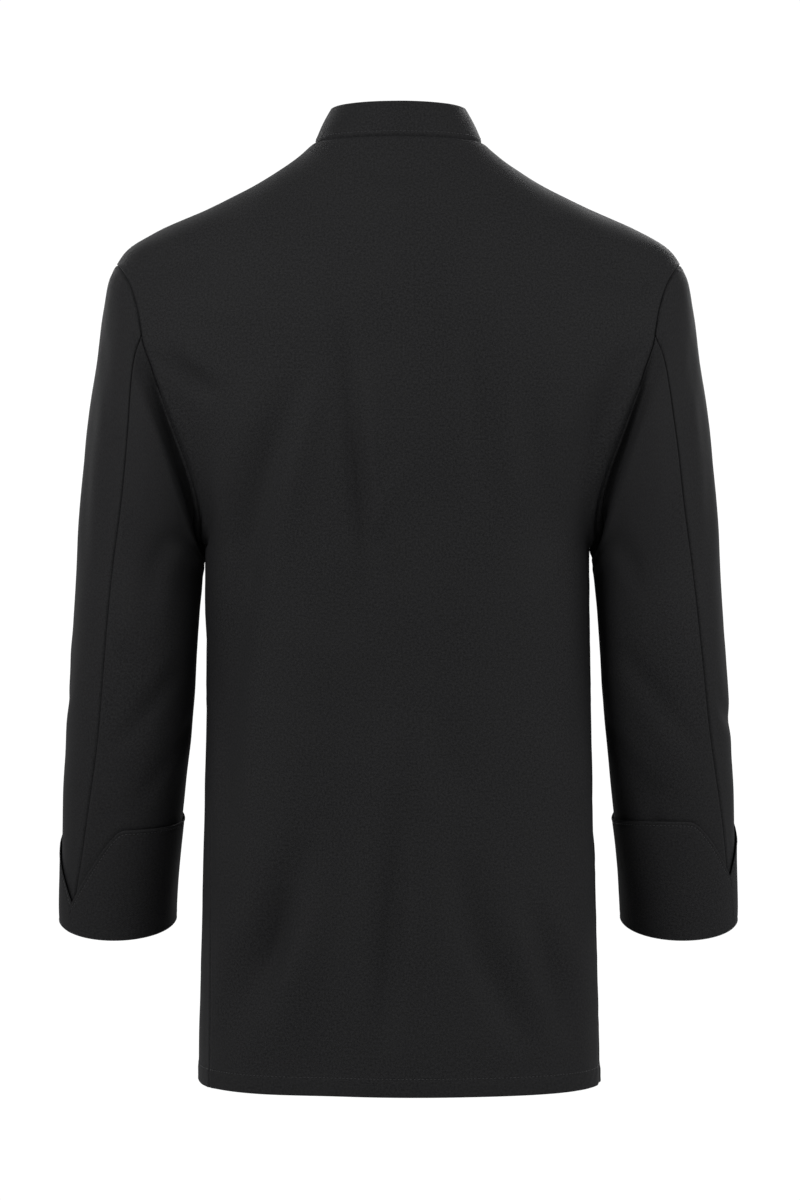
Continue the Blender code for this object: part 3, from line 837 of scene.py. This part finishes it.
def thread_material():
    n = Nodes("black_thread")
    at = n.add("TexCoord", "Object", {})
    twists = {"Vector": at, "Scale": 1100.0, "Distortion": 1.0}
    twist = n.add("TexWave", "Fac", twists, bands_direction="DIAGONAL")
    return n.finish(
        Base_Color=n.mix(twist, (0.010, 0.010, 0.011, 1), (0.024, 0.024, 0.026, 1)),
        Roughness=0.55,
        Specular_IOR_Level=0.4,
        Normal=n.bump(0.4, 0.0001, twist),
    )


def button_material():
    """Satin black plastic, a little mottled."""
    n = Nodes("black_button")
    at = n.add("TexCoord", "Object", {})
    mottle = n.noise(at, 260.0, 3.0)
    return n.finish(
        Base_Color=n.mix(mottle, (0.006, 0.006, 0.007, 1), (0.014, 0.014, 0.015, 1)),
        Roughness=n.spread(mottle, 0.3, 0.7, 0.26, 0.4),
        Normal=n.bump(0.12, 0.0001, n.noise(at, 1800.0, 1.0)),
    )


WALE_SCALE = 330.0  # in the wave texture's own unit, for a UV map in metres
DARK_YARN = (0.0042, 0.0042, 0.0046, 1)
LIGHT_YARN = (0.0178, 0.0178, 0.0186, 1)
WORN_YARN = (0.0165, 0.0165, 0.0168, 1)

twill = cloth_material()
thread = thread_material()
plastic = button_material()

# ---- Folds ---------------------------------------------------------------------------------------

# x and z in the frame
BACK_FOLDS = (
    (-3.0, 9, 0.4, (46, -150), (40, -192), (37, -241), (31, -290), (27, -339), (21, -395)),
    (1.5, 9, 0, (21, -240), (20, -290), (18, -345)),
    (
        *(-5.0, 16, -0.6, (66, -196), (93, -245), (112, -290), (125, -343), (135, -404)),
        *((143, -470), (147, -545), (141, -630)),
    ),
    (2.4, 14, 0, (56, -183), (76, -241), (90, -298), (97, -355)),
    (1.6, 7, 0, (-5, -272), (8, -306), (18, -335)),
    (-2.0, 12, 0.3, (-57, -120), (-62, -175), (-67, -232), (-70, -315)),
    (-1.8, 13, -0.3, (-104, -210), (-116, -282), (-122, -365)),
    (-5.5, 17, 0.4, (78, -580), (101, -650), (125, -703), (143, -760)),
    (-2.5, 12, -0.3, (100, -620), (107, -683), (112, -740)),
    (-4.2, 13, -0.5, (-4, -530), (2, -617), (7, -683), (12, -765)),
    (-4.0, 15, 0.5, (-50, -590), (-67, -666), (-87, -715), (-110, -765)),
    (-3.2, 11, 0.4, (-108, -635), (-126, -703), (-137, -760)),
    (-2.2, 12, 0, (224, -124), (187, -106), (145, -90)),
    (-2.6, 14, 0, (-233, -124), (-198, -122), (-165, -111), (-125, -98)),
    (-3.5, 14, 0, (-212, -176), (-186, -208), (-165, -249), (-155, -310)),
    (-2.6, 9, 0.5, (197, -182), (176, -201), (148, -222)),
    (1.8, 16, 0, (193, -145), (158, -142), (112, -157)),
    (-1.6, 10, 0, (40, -26), (-1, -33), (-50, -26)),
    (-5.6, 40, 0, (46, -420), (54, -560), (60, -700), (66, -960)),
    (2.6, 44, 0, (-140, -400), (-138, -560), (-140, -700), (-146, -960)),
    (1.6, 22, 0, (-4, -360), (-12, -480), (0, -600), (-20, -720)),
    (-1.6, 18, -0.2, (-40, -400), (-30, -480), (-44, -560)),
)
UNDERARM_TUCKS = (
    (-1.6, 2.2, 0, (208, -180), (196, -190), (182, -206)),
    (-1.3, 2.0, 0, (206, -186), (203, -200), (192, -216)),
    (-1.2, 2.5, 0, (-204, -178), (-192, -190)),
)
FRONT_FOLDS = (
    (-3.6, 12, 0.5, (186, -190), (150, -235), (122, -285), (108, -350)),
    (-3.2, 14, -0.5, (-186, -196), (-152, -240), (-128, -300), (-118, -370)),
    (-2.4, 10, 0.4, (205, -150), (170, -168), (130, -196)),
    (-2.2, 10, -0.4, (-203, -150), (-172, -172), (-135, -200)),
    (-3.4, 14, 0.5, (128, -330), (118, -400), (122, -470), (132, -540)),
    (-3.0, 13, -0.5, (-130, -350), (-120, -430), (-126, -520)),
    (-3.6, 15, 0.5, (96, -560), (112, -640), (124, -700), (138, -765)),
    (-3.2, 14, -0.4, (-92, -580), (-110, -650), (-128, -720), (-134, -765)),
    (-2.4, 12, 0.3, (40, -560), (34, -640), (40, -720)),
    (-2.6, 13, 0.3, (-34, -590), (-42, -670), (-38, -760)),
    (-1.8, 12, 0.3, (20, -190), (10, -250), (14, -320)),
    (-1.8, 10, 0, (98, -110), (124, -150), (132, -190)),
    (-1.8, 10, 0, (-96, -112), (-122, -152), (-130, -195)),
    (-2.0, 14, 0.2, (30, -380), (24, -450), (34, -520)),
)
# Round the sleeve in degrees, which are about a millimetre each, and down it
LEFT_SLEEVE_FOLDS = (
    (-3.2, 10, 0.6, (150, 60), (128, 110), (112, 170), (104, 240)),
    (-2.6, 9, -0.4, (205, 60), (216, 120), (222, 190)),
    (-2.6, 10, 0.6, (58, 250), (84, 268), (116, 300)),
    (-2.8, 10, -0.6, (160, 270), (128, 296), (96, 330), (70, 345)),
    (-2.4, 9, 0.5, (176, 330), (140, 352), (104, 392)),
    (-2.2, 9, 0.5, (60, 380), (82, 402), (96, 424)),
    (-2.0, 9, 0.4, (20, 300), (-10, 330), (-50, 348)),
    (-2.4, 11, 0.4, (-60, 250), (-30, 282), (10, 300)),
    (-2.0, 10, 0.4, (-110, 330), (-80, 360), (-40, 380)),
    (-1.8, 12, 0, (-30, 40), (-36, 110), (-30, 190)),
    (-1.8, 12, 0, (30, 60), (26, 130), (34, 220)),
)
RIGHT_SLEEVE_FOLDS = (
    (-3.0, 10, 0.6, (148, 70), (130, 120), (118, 180), (112, 230)),
    (-2.4, 9, -0.4, (206, 70), (214, 130), (220, 200)),
    (-3.0, 11, 0.6, (150, 262), (122, 282), (92, 316), (66, 350)),
    (-2.6, 10, -0.5, (176, 318), (148, 346), (120, 372), (86, 392)),
    (-2.2, 10, 0.5, (130, 368), (112, 400), (104, 425)),
    (-2.0, 9, 0.4, (50, 300), (20, 326), (-16, 340)),
    (-2.4, 10, 0.5, (-20, 262), (-60, 288), (-100, 300)),
    (-2.0, 10, 0.4, (-120, 350), (-86, 372), (-46, 396)),
    (-1.8, 12, 0, (-26, 50), (-34, 120), (-28, 200)),
    (-1.8, 12, 0, (32, 50), (28, 120), (38, 200)),
)


def hem_rise(piece):
    """The doubled cloth of the hem, the furrow of its stitches and the slanting ripples below it."""
    up = piece.from_bottom
    doubled = HEM_PLY * (1 - smooth(HEM - 0.5, HEM + 1.5, up))
    roping = 0.35 * np.sin((piece.u + 0.9 * up + 3 * ripple(piece.u, up, 30, 5)) * 2 * np.pi / 13)
    inside = smooth(1.5, 6, up) * (1 - smooth(HEM - 4, HEM + 6, up))
    uneven = 0.5 + 0.5 * ripple(piece.u, up * 0, 55, 6)
    return doubled + roping * inside * uneven + stitched(up - (HEM - 1), 0.5)


def away_from(*distances, start=6, full=26):
    """1 inside the piece and 0 at these edges."""
    return math.prod(smooth(start, full, distance) for distance in distances)


FOLD_DEPTH = 2.1  # times the depth that the tables give
SLEEVE_FOLD_DEPTH = 0.9
TUCK = 2.5  # how far the body's edge turns in at the armhole
OVERHANG = 7  # how far it falls over the sleeve there
VALLEY = 15  # depth of the hollow that the sleeve makes under it
HOLLOW_GROWS, HOLLOW_ENDS = (52, 108), (158, 180)  # degrees from the armhole's tip
HEM_PLY = 0.55  # how far the doubled cloth of the hem stands out
VENT_LIFT = 1.5  # how far the back's edge stands out at the vent
SLEEVE_TAPER = 0.6  # how much the sleeve narrows inside its cuff


def from_tip(angle):
    """How far an angle round the armhole is from its tip, either way."""
    return np.abs((angle + 180) % 360 - 180)


def hollow_share(away):
    """How much of the hollow there is so far from the armhole's tip."""
    return smooth(*HOLLOW_GROWS, away) * (1 - smooth(*HOLLOW_ENDS, away))


def armhole_valley(angle, down):
    """The deep hollow along the lower armhole, at the back and the front, which opens out down the sleeve."""
    away = from_tip(angle)
    reach = 34 + 34 * smooth(70, 150, away)
    depth = TUCK + (VALLEY - TUCK) * smooth(0, 4.5, down)
    return depth * hollow_share(away) * (1 - smooth(3, reach, down))


def fall_over(angle, share, mirror=1):
    """How far a share of the fall moves the cloth at the left armhole, or the right one if mirror is -1."""
    way = at_armhole(ARMHOLE_WAYS_OUT, angle) * (mirror, 1, 1)
    return way * (OVERHANG * hollow_share(from_tip(angle)) * share)[..., None]


def body_falls_over(piece, side, edges):
    """Moves edges of a body panel out over the sleeves. side is 1 on the back and -1 on a front."""
    height = piece.points[..., 2]
    on_armhole = (height > UNDERARM[1]) & (height < SHOULDER_TIP[1])
    angle = armhole_angle(height) * side
    for away, mirror in edges:
        piece.points = piece.points + fall_over(angle, on_armhole * bell(away, 9), mirror)


def armhole_tuck(piece, away):
    """How far the body's edge turns in at the armhole, so that the cloth beside it falls over the sleeve."""
    height = piece.points[..., 2]
    return TUCK * hollow_share(armhole_angle(height)) * (height > UNDERARM[1]) * bell(away, 3.5)


def dress_body(piece, plan, edges):
    """Adds the folds, the seams at these edges and at the neck, and the hem."""
    x, z = piece.face()[..., 0], piece.points[..., 2]
    piece.rise *= away_from(*edges, start=0, full=18)
    piece.rise += FOLD_DEPTH * folds(x, z, plan) * away_from(*edges, full=30)
    for number, away in enumerate(edges):
        piece.rise += seam(away, piece.v, seed=20 + number) - armhole_tuck(piece, away)
    neck = piece.from_top
    piece.rise *= smooth(0, 10, neck)
    piece.rise += seam(neck, piece.u, seed=30) + hem_rise(piece)
    piece.free = np.minimum(piece.free, piece.from_bottom)


back = make_back()
dress_body(back, BACK_FOLDS, (back.from_start, back.from_end))
for tuck in UNDERARM_TUCKS:
    back.rise += folds(back.face()[..., 0], back.points[..., 2], (tuck,))
body_falls_over(back, 1, ((back.from_end, 1), (back.from_start, -1)))
# the vent at the foot of the right side seam
low_down = 1 - smooth(VENT_TOP - 14, VENT_TOP + 6, back.points[..., 2])
back.rise += VENT_LIFT * low_down * (1 - smooth(0, 16, back.from_start))

fronts = {side: make_front(side, side == "left") for side in ("left", "right")}
for piece in fronts.values():
    dress_body(piece, FRONT_FOLDS, (piece.from_start,))
    body_falls_over(piece, -1, ((piece.from_start, 1),))

collar = make_collar()
collar.rise *= 0.5 * smooth(0, 6, collar.from_bottom)
collar.rise += seam(collar.from_bottom, collar.u, 0.15, 40)
collar.rise += stitched(collar.from_bottom - COLLAR_STITCHES, 0.25)

sleeves = [make_sleeve(arm, part) for arm in ("left", "right") for part in ("upper", "under")]
for piece in sleeves:
    plan = LEFT_SLEEVE_FOLDS if piece.flip > 0 else RIGHT_SLEEVE_FOLDS
    around, down = np.where(piece.angle > 220, piece.angle - 360, piece.angle), piece.from_top
    edges = (piece.from_start, piece.from_end, down)
    piece.rise *= away_from(*edges, start=0, full=16)
    piece.rise += SLEEVE_FOLD_DEPTH * folds(around, down, plan) * away_from(*edges, full=20)
    piece.rise -= armhole_valley(around, down)
    piece.points = piece.points + fall_over(piece.angle, 1 - smooth(0, 5, down))
    piece.rise += seam(piece.from_start, piece.v, seed=50) + seam(piece.from_end, piece.v, seed=51)
    piece.rise += seam(down, piece.u, 0.3, seed=52)
    piece.rise -= SLEEVE_TAPER * smooth(SLEEVE_LENGTH - 60, SLEEVE_LENGTH - 4, down)

cuffs = {arm: make_cuff(arm) for arm in ("left", "right")}
for piece in cuffs.values():
    edge, turned = piece.from_top, piece.from_bottom
    pucker = ripple(piece.u, edge * 0.4, 7, 60) * bell(edge, 10) * smooth(0, 2, edge)
    piece.rise *= 0.5 * smooth(0, 10, edge) * smooth(0, 12, turned)
    piece.rise += stitched(edge - CUFF_STITCHES, 0.5) + 0.18 * bell(edge - 1.4, 1.1)
    piece.rise += 0.45 * pucker + stitched(turned - TURN_STITCHES, 0.2)

pieces = (back, *fronts.values(), collar, *sleeves, *cuffs.values())
shown = {piece.name: cloth_object(piece, twill) for piece in pieces}

# ---- Sewing --------------------------------------------------------------------------------------


def at_face(piece, x, z):
    """Points on the piece's face at these x and z, with the way out at each."""
    surface, out = piece.face(), piece.out()
    up, across = np.gradient(surface, axis=0), np.gradient(surface, axis=1)
    points, ways = [], []
    for want_x, want_z in zip(np.atleast_1d(x), np.atleast_1d(z)):
        gap = (surface[..., 0] - want_x) ** 2 + (surface[..., 2] - want_z) ** 2
        k = np.unravel_index(np.argmin(gap), gap.shape)
        base, a, b = surface[k], across[k], up[k]
        s, t = np.linalg.solve([[a[0], b[0]], [a[2], b[2]]], [want_x - base[0], want_z - base[2]])
        points.append(base + a * s + b * t)
        ways.append(out[k])
    return np.array(points), unit(np.array(ways))


TOPSTITCH = (2.4, 0.9, 0.5)  # length, gap and thickness of thread
SATIN = 0.5  # spacing of the threads of a worked buttonhole


def inside_ends(points, ways, trim):
    """The line without so much of either end."""
    at = reached(points)
    kept = (at >= trim) & (at <= at[-1] - trim)
    return points[kept], ways[kept]


def sewn(piece, *lines):
    """The topstitching on a piece. Each line is an edge, its distance from it and what its ends leave bare."""
    length, gap, thickness = TOPSTITCH
    marks = []
    for edge, distance, trim in lines:
        line = inside_ends(*line_on(piece, edge, distance), trim)
        marks.append(thread_marks(*resampled(*line, length + gap), length, thickness))
    return thread_object(f"{piece.name}_topstitch", marks)


def satin_bar(piece, x, z, way, length, width):
    """A dense bar of thread on a face, running from (x, z) along way, each thread across it."""
    at = (np.arange(round(length / SATIN)) + 0.5) * SATIN
    points, out = at_face(piece, x + way[0] * at, z + way[1] * at)
    along = unit(np.gradient(points, axis=0))
    return thread_marks(points, out, unit(np.cross(out, along)), width, 0.55, 0.16)


def buttonholes():
    """Worked buttonholes along the left front, each under and beside its button."""
    bars = []
    for z in BUTTON_HEIGHTS:
        for side in (-1, 1):
            bars.append(satin_bar(fronts["left"], -BUTTON_REACH - 3, z + side * 1.05, (1, 0), 22, 1.8))
        for x in (-BUTTON_REACH - 3.4, -BUTTON_REACH + 19.2):
            bars.append(satin_bar(fronts["left"], x, z - 1.9, (0, 1), 3.8, 1.2))
    return thread_object("buttonholes", bars, 50)


# Radius and height of the turned rings, from the recess out over the rim and from the back's middle out
BUTTON_FACE = ((5.3, 0.62), (5.75, 0.95), (6.5, 1.32), (7.5, 1.45), (8.5, 1.3), (9.15, 0.9))
BUTTON_BACK = ((5.3, -1.4), (7.2, -1.3), (8.5, -1.05), (9.3, -0.5), (9.45, 0.3))
RECESS = 5.0  # its radius
RECESS_HEIGHT, HOLE_EDGE_HEIGHT, HOLE_FOOT_HEIGHT, BACK_HEIGHT = 0.5, 0.42, -1.2, -1.4
HOLE_REACH = 1.75  # across and up from the middle
HOLE_RADIUS = 0.85
CROSSING = 2 * HOLE_REACH + 0.9  # length of the threads from hole to hole
BUTTON_STAND = 2.2  # from the cloth to the button's middle


def quarter_points():
    """Points on the edge of one hole of a button and, in line with them, on the edge of its quarter."""
    corners = [math.atan2(y - HOLE_REACH, x - HOLE_REACH) for x, y in ((0, 0), (RECESS, 0), (0, RECESS))]
    turns = [*np.linspace(0, 2 * math.pi, 20, endpoint=False), *corners]
    hole, edge = [], []
    for turn in sorted(set(round(turn % (2 * math.pi), 9) for turn in turns)):
        way = np.array((math.cos(turn), math.sin(turn)))
        reach = [-HOLE_REACH / part for part in way if part < -1e-9]
        b = HOLE_REACH * (way[0] + way[1])
        reach.append(-b + math.sqrt(b * b + RECESS**2 - 2 * HOLE_REACH**2))
        hole.append(HOLE_REACH + HOLE_RADIUS * way)
        edge.append(HOLE_REACH + min(reach) * way)
    return hole, edge


def join_rings(made, first, second, flip=False):
    """Faces between two rings of as many points."""
    for k in range(len(first)):
        n = (k + 1) % len(first)
        corners = [first[k], first[n], second[n], second[k]]
        made.faces.new(corners[::-1] if flip else corners)


def button_mesh(name):
    """A sew-through button with four holes in a sunk middle, lying on z = 0 and facing up."""
    made = bmesh.new()
    hole, edge = quarter_points()
    levels = (edge, RECESS_HEIGHT), (hole, HOLE_EDGE_HEIGHT), (hole, HOLE_FOOT_HEIGHT), (edge, BACK_HEIGHT)
    for sign_x in (1, -1):
        for sign_y in (1, -1):
            rings = [[made.verts.new((x * sign_x, y * sign_y, z)) for x, y in ring] for ring, z in levels]
            for outer, inner in zip(rings[:-1], rings[1:]):
                join_rings(made, outer, inner, sign_x * sign_y < 0)
    bmesh.ops.remove_doubles(made, verts=made.verts, dist=0.01)
    sides = []
    for height, rings in ((RECESS_HEIGHT, BUTTON_FACE), (BACK_HEIGHT, BUTTON_BACK)):
        level = [v for v in made.verts if abs(v.co.z - height) < 0.01]
        rim = [v for v in level if math.hypot(v.co.x, v.co.y) > RECESS - 0.1]
        rim.sort(key=lambda v: math.atan2(v.co.y, v.co.x))
        ring = rim
        for radius, z in rings:
            share = radius / RECESS
            new = [made.verts.new((v.co.x * share, v.co.y * share, z)) for v in rim]
            join_rings(made, ring, new)
            ring = new
        sides.append(ring)
    join_rings(made, *sides)
    bmesh.ops.recalc_face_normals(made, faces=made.faces)
    mesh = bpy.data.meshes.new(name)
    made.to_mesh(mesh)
    made.free()
    return mesh


def buttons():
    """The buttons, each where its CAD node is and facing as the front does there, and their thread."""
    shape = button_mesh("button")
    points = np.array([tuple(vertex.co) for vertex in shape.vertices])
    faces = [tuple(face.vertices) for face in shape.polygons]
    bpy.data.meshes.remove(shape)
    marks = []
    turns = np.random.default_rng(8).uniform(-0.5, 0.5, 10)
    names = [f"button_{side}_{row}" for side in ("left", "right") for row in range(1, 6)]
    for name, turn in zip(names, turns):
        low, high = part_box(name)
        middle = (np.array(low) + np.array(high)) / 2 / MM
        seat, out = (found[0] for found in at_face(fronts["left"], middle[0], middle[2]))
        level = unit(np.cross((0, 0, 1), out))
        across = unit(level * math.cos(turn) + np.cross(out, level) * math.sin(turn))
        above = np.cross(out, across)
        centre = seat + out * BUTTON_STAND
        turned = points @ np.array([across, above, out]) + centre
        made = mesh_object(f"{name}_turned", turned, faces, plastic, 40)
        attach(made, "root")
        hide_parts(name)
        for side in (-1, 1):
            for beside in (-0.42, 0, 0.42):
                where = centre + above * (side * HOLE_REACH + beside) + out * 0.72
                marks.append(thread_marks(where[None], out[None], across[None], CROSSING, 0.42, 0.2))
        # and the shank of thread between button and cloth
        for beside in (-0.8, 0, 0.8):
            where = centre + across * beside - out * 1.6
            marks.append(thread_marks(where[None], across[None], out[None], 2.4, 0.9, 0.0))
    return thread_object("button_thread", marks, 50)


HEM_LINE = ("bottom", HEM - 1, 2)
CUFF_LINES = (("top", CUFF_STITCHES, 2), ("bottom", TURN_STITCHES, 2))
topstitch = {
    "back": sewn(back, HEM_LINE),
    "front_left": sewn(fronts["left"], HEM_LINE, ("end", 6, 4)),
    "front_right": sewn(fronts["right"], HEM_LINE, ("end", 6, 4)),
    "collar": sewn(collar, ("bottom", COLLAR_STITCHES, 3)),
    "cuff_left": sewn(cuffs["left"], *CUFF_LINES),
    "cuff_right": sewn(cuffs["right"], *CUFF_LINES),
}
holes = buttonholes()
button_thread = buttons()

# The cut of what shows of each piece, in metres: width, length, area and how it is held
CUTS = {
    "back": (0.555, 0.82, 0.349, "hung"),
    "front_left": (0.41, 0.83, 0.264, "hung"),
    "front_right": (0.366, 0.83, 0.25, "hung"),
    "collar": (0.446, 0.034, 0.0126, "stretched"),
    "sleeve_left_upper": (0.364, 0.575, 0.112, "hung"),
    "sleeve_left_under": (0.278, 0.525, 0.0655, "hung"),
    "sleeve_right_upper": (0.364, 0.572, 0.107, "hung"),
    "sleeve_right_under": (0.279, 0.525, 0.0705, "hung"),
    "cuff_left": (0.434, 0.105, 0.031, "folded"),
    "cuff_right": (0.434, 0.112, 0.032, "folded"),
}
for name, (width, length, area, held) in CUTS.items():
    sewn_on = [topstitch[name]] if name in topstitch else []
    if name == "front_left":
        sewn_on += [holes, button_thread]

# ---- Stage ---------------------------------------------------------------------------------------

scene = bpy.context.scene
for old in [thing for thing in bpy.data.objects if thing.type in ("CAMERA", "LIGHT") or thing.name == "Cube"]:
    bpy.data.objects.remove(old, do_unlink=True)
scene.view_settings.view_transform = "Standard"

EYE = (-0.0014, 3.3, -0.388)
HALF_VIEW = 0.51  # half the height of what the camera sees at the jacket
camera = bpy.data.objects.new("camera", bpy.data.cameras.new("camera"))
scene.collection.objects.link(camera)
camera.location = EYE
camera.rotation_euler = (math.pi / 2, 0, math.pi)
camera.data.angle = 2 * math.atan(HALF_VIEW / EYE[1])
camera.data.clip_end = 60
scene.camera = camera

FLOOR_HEIGHT = -1.48  # the neckline is so far above the floor when the jacket is worn
FLOOR_RADIUS = 1.2
FLOOR_SIDES = 128
turns = np.arange(FLOOR_SIDES) * 2 * np.pi / FLOOR_SIDES
rim = stack(FLOOR_RADIUS * np.cos(turns), FLOOR_RADIUS * np.sin(turns), FLOOR_HEIGHT)
floor = mesh_object(
    "floor",
    np.concatenate([[(0, 0, FLOOR_HEIGHT)], rim]) / MM,
    [(0, 1 + k, 1 + (k + 1) % FLOOR_SIDES) for k in range(FLOOR_SIDES)],
    Nodes("pale_floor").finish(Base_Color=(0.96, 0.96, 0.96, 1), Roughness=0.9, Specular_IOR_Level=0.1),
)

# The camera sees a white ground, and the jacket is lit by a dimmer one
ROOM_LIGHT = 0.4
WHITE_GROUND = 1.05
world = bpy.data.worlds.new("studio")
scene.world = world
world.use_nodes = True
nodes, links = world.node_tree.nodes, world.node_tree.links
lit = nodes["Background"]
seen = nodes.new("ShaderNodeBackground")
for ground, strength in ((lit, ROOM_LIGHT), (seen, WHITE_GROUND)):
    ground.inputs["Color"].default_value = (1, 1, 1, 1)
    ground.inputs["Strength"].default_value = strength
chosen = nodes.new("ShaderNodeMixShader")
links.new(nodes.new("ShaderNodeLightPath").outputs["Is Camera Ray"], chosen.inputs[0])
links.new(lit.outputs[0], chosen.inputs[1])
links.new(seen.outputs[0], chosen.inputs[2])
links.new(chosen.outputs[0], nodes["World Output"].inputs["Surface"])

LIGHTS = (  # name, place, height that it is aimed at, size and power
    ("key", (1.15, 1.35, 0.58), -0.05, (0.7, 0.8), 25),
    ("fill", (-1.45, 1.2, 0.5), -0.05, (0.8, 0.9), 16),
    ("front_key", (-0.9, -1.7, 0.55), -0.05, (0.7, 0.8), 25),
    ("front_fill", (1.1, -1.6, 0.5), -0.05, (0.8, 0.9), 14.4),
    ("left_side", (2.0, 0.35, -0.05), -0.25, (0.8, 1.0), 6),
    ("right_side", (-2.0, 0.35, -0.05), -0.25, (0.8, 1.0), 11.4),
)
for name, place, aim, size, power in LIGHTS:
    lamp = bpy.data.lights.new(name, "AREA")
    lamp.shape = "RECTANGLE"
    lamp.size, lamp.size_y = size
    lamp.energy = power
    made = bpy.data.objects.new(name, lamp)
    scene.collection.objects.link(made)
    made.location = place
    made.rotation_euler = (Vector((0, 0, aim)) - Vector(place)).to_track_quat("-Z", "Y").to_euler()
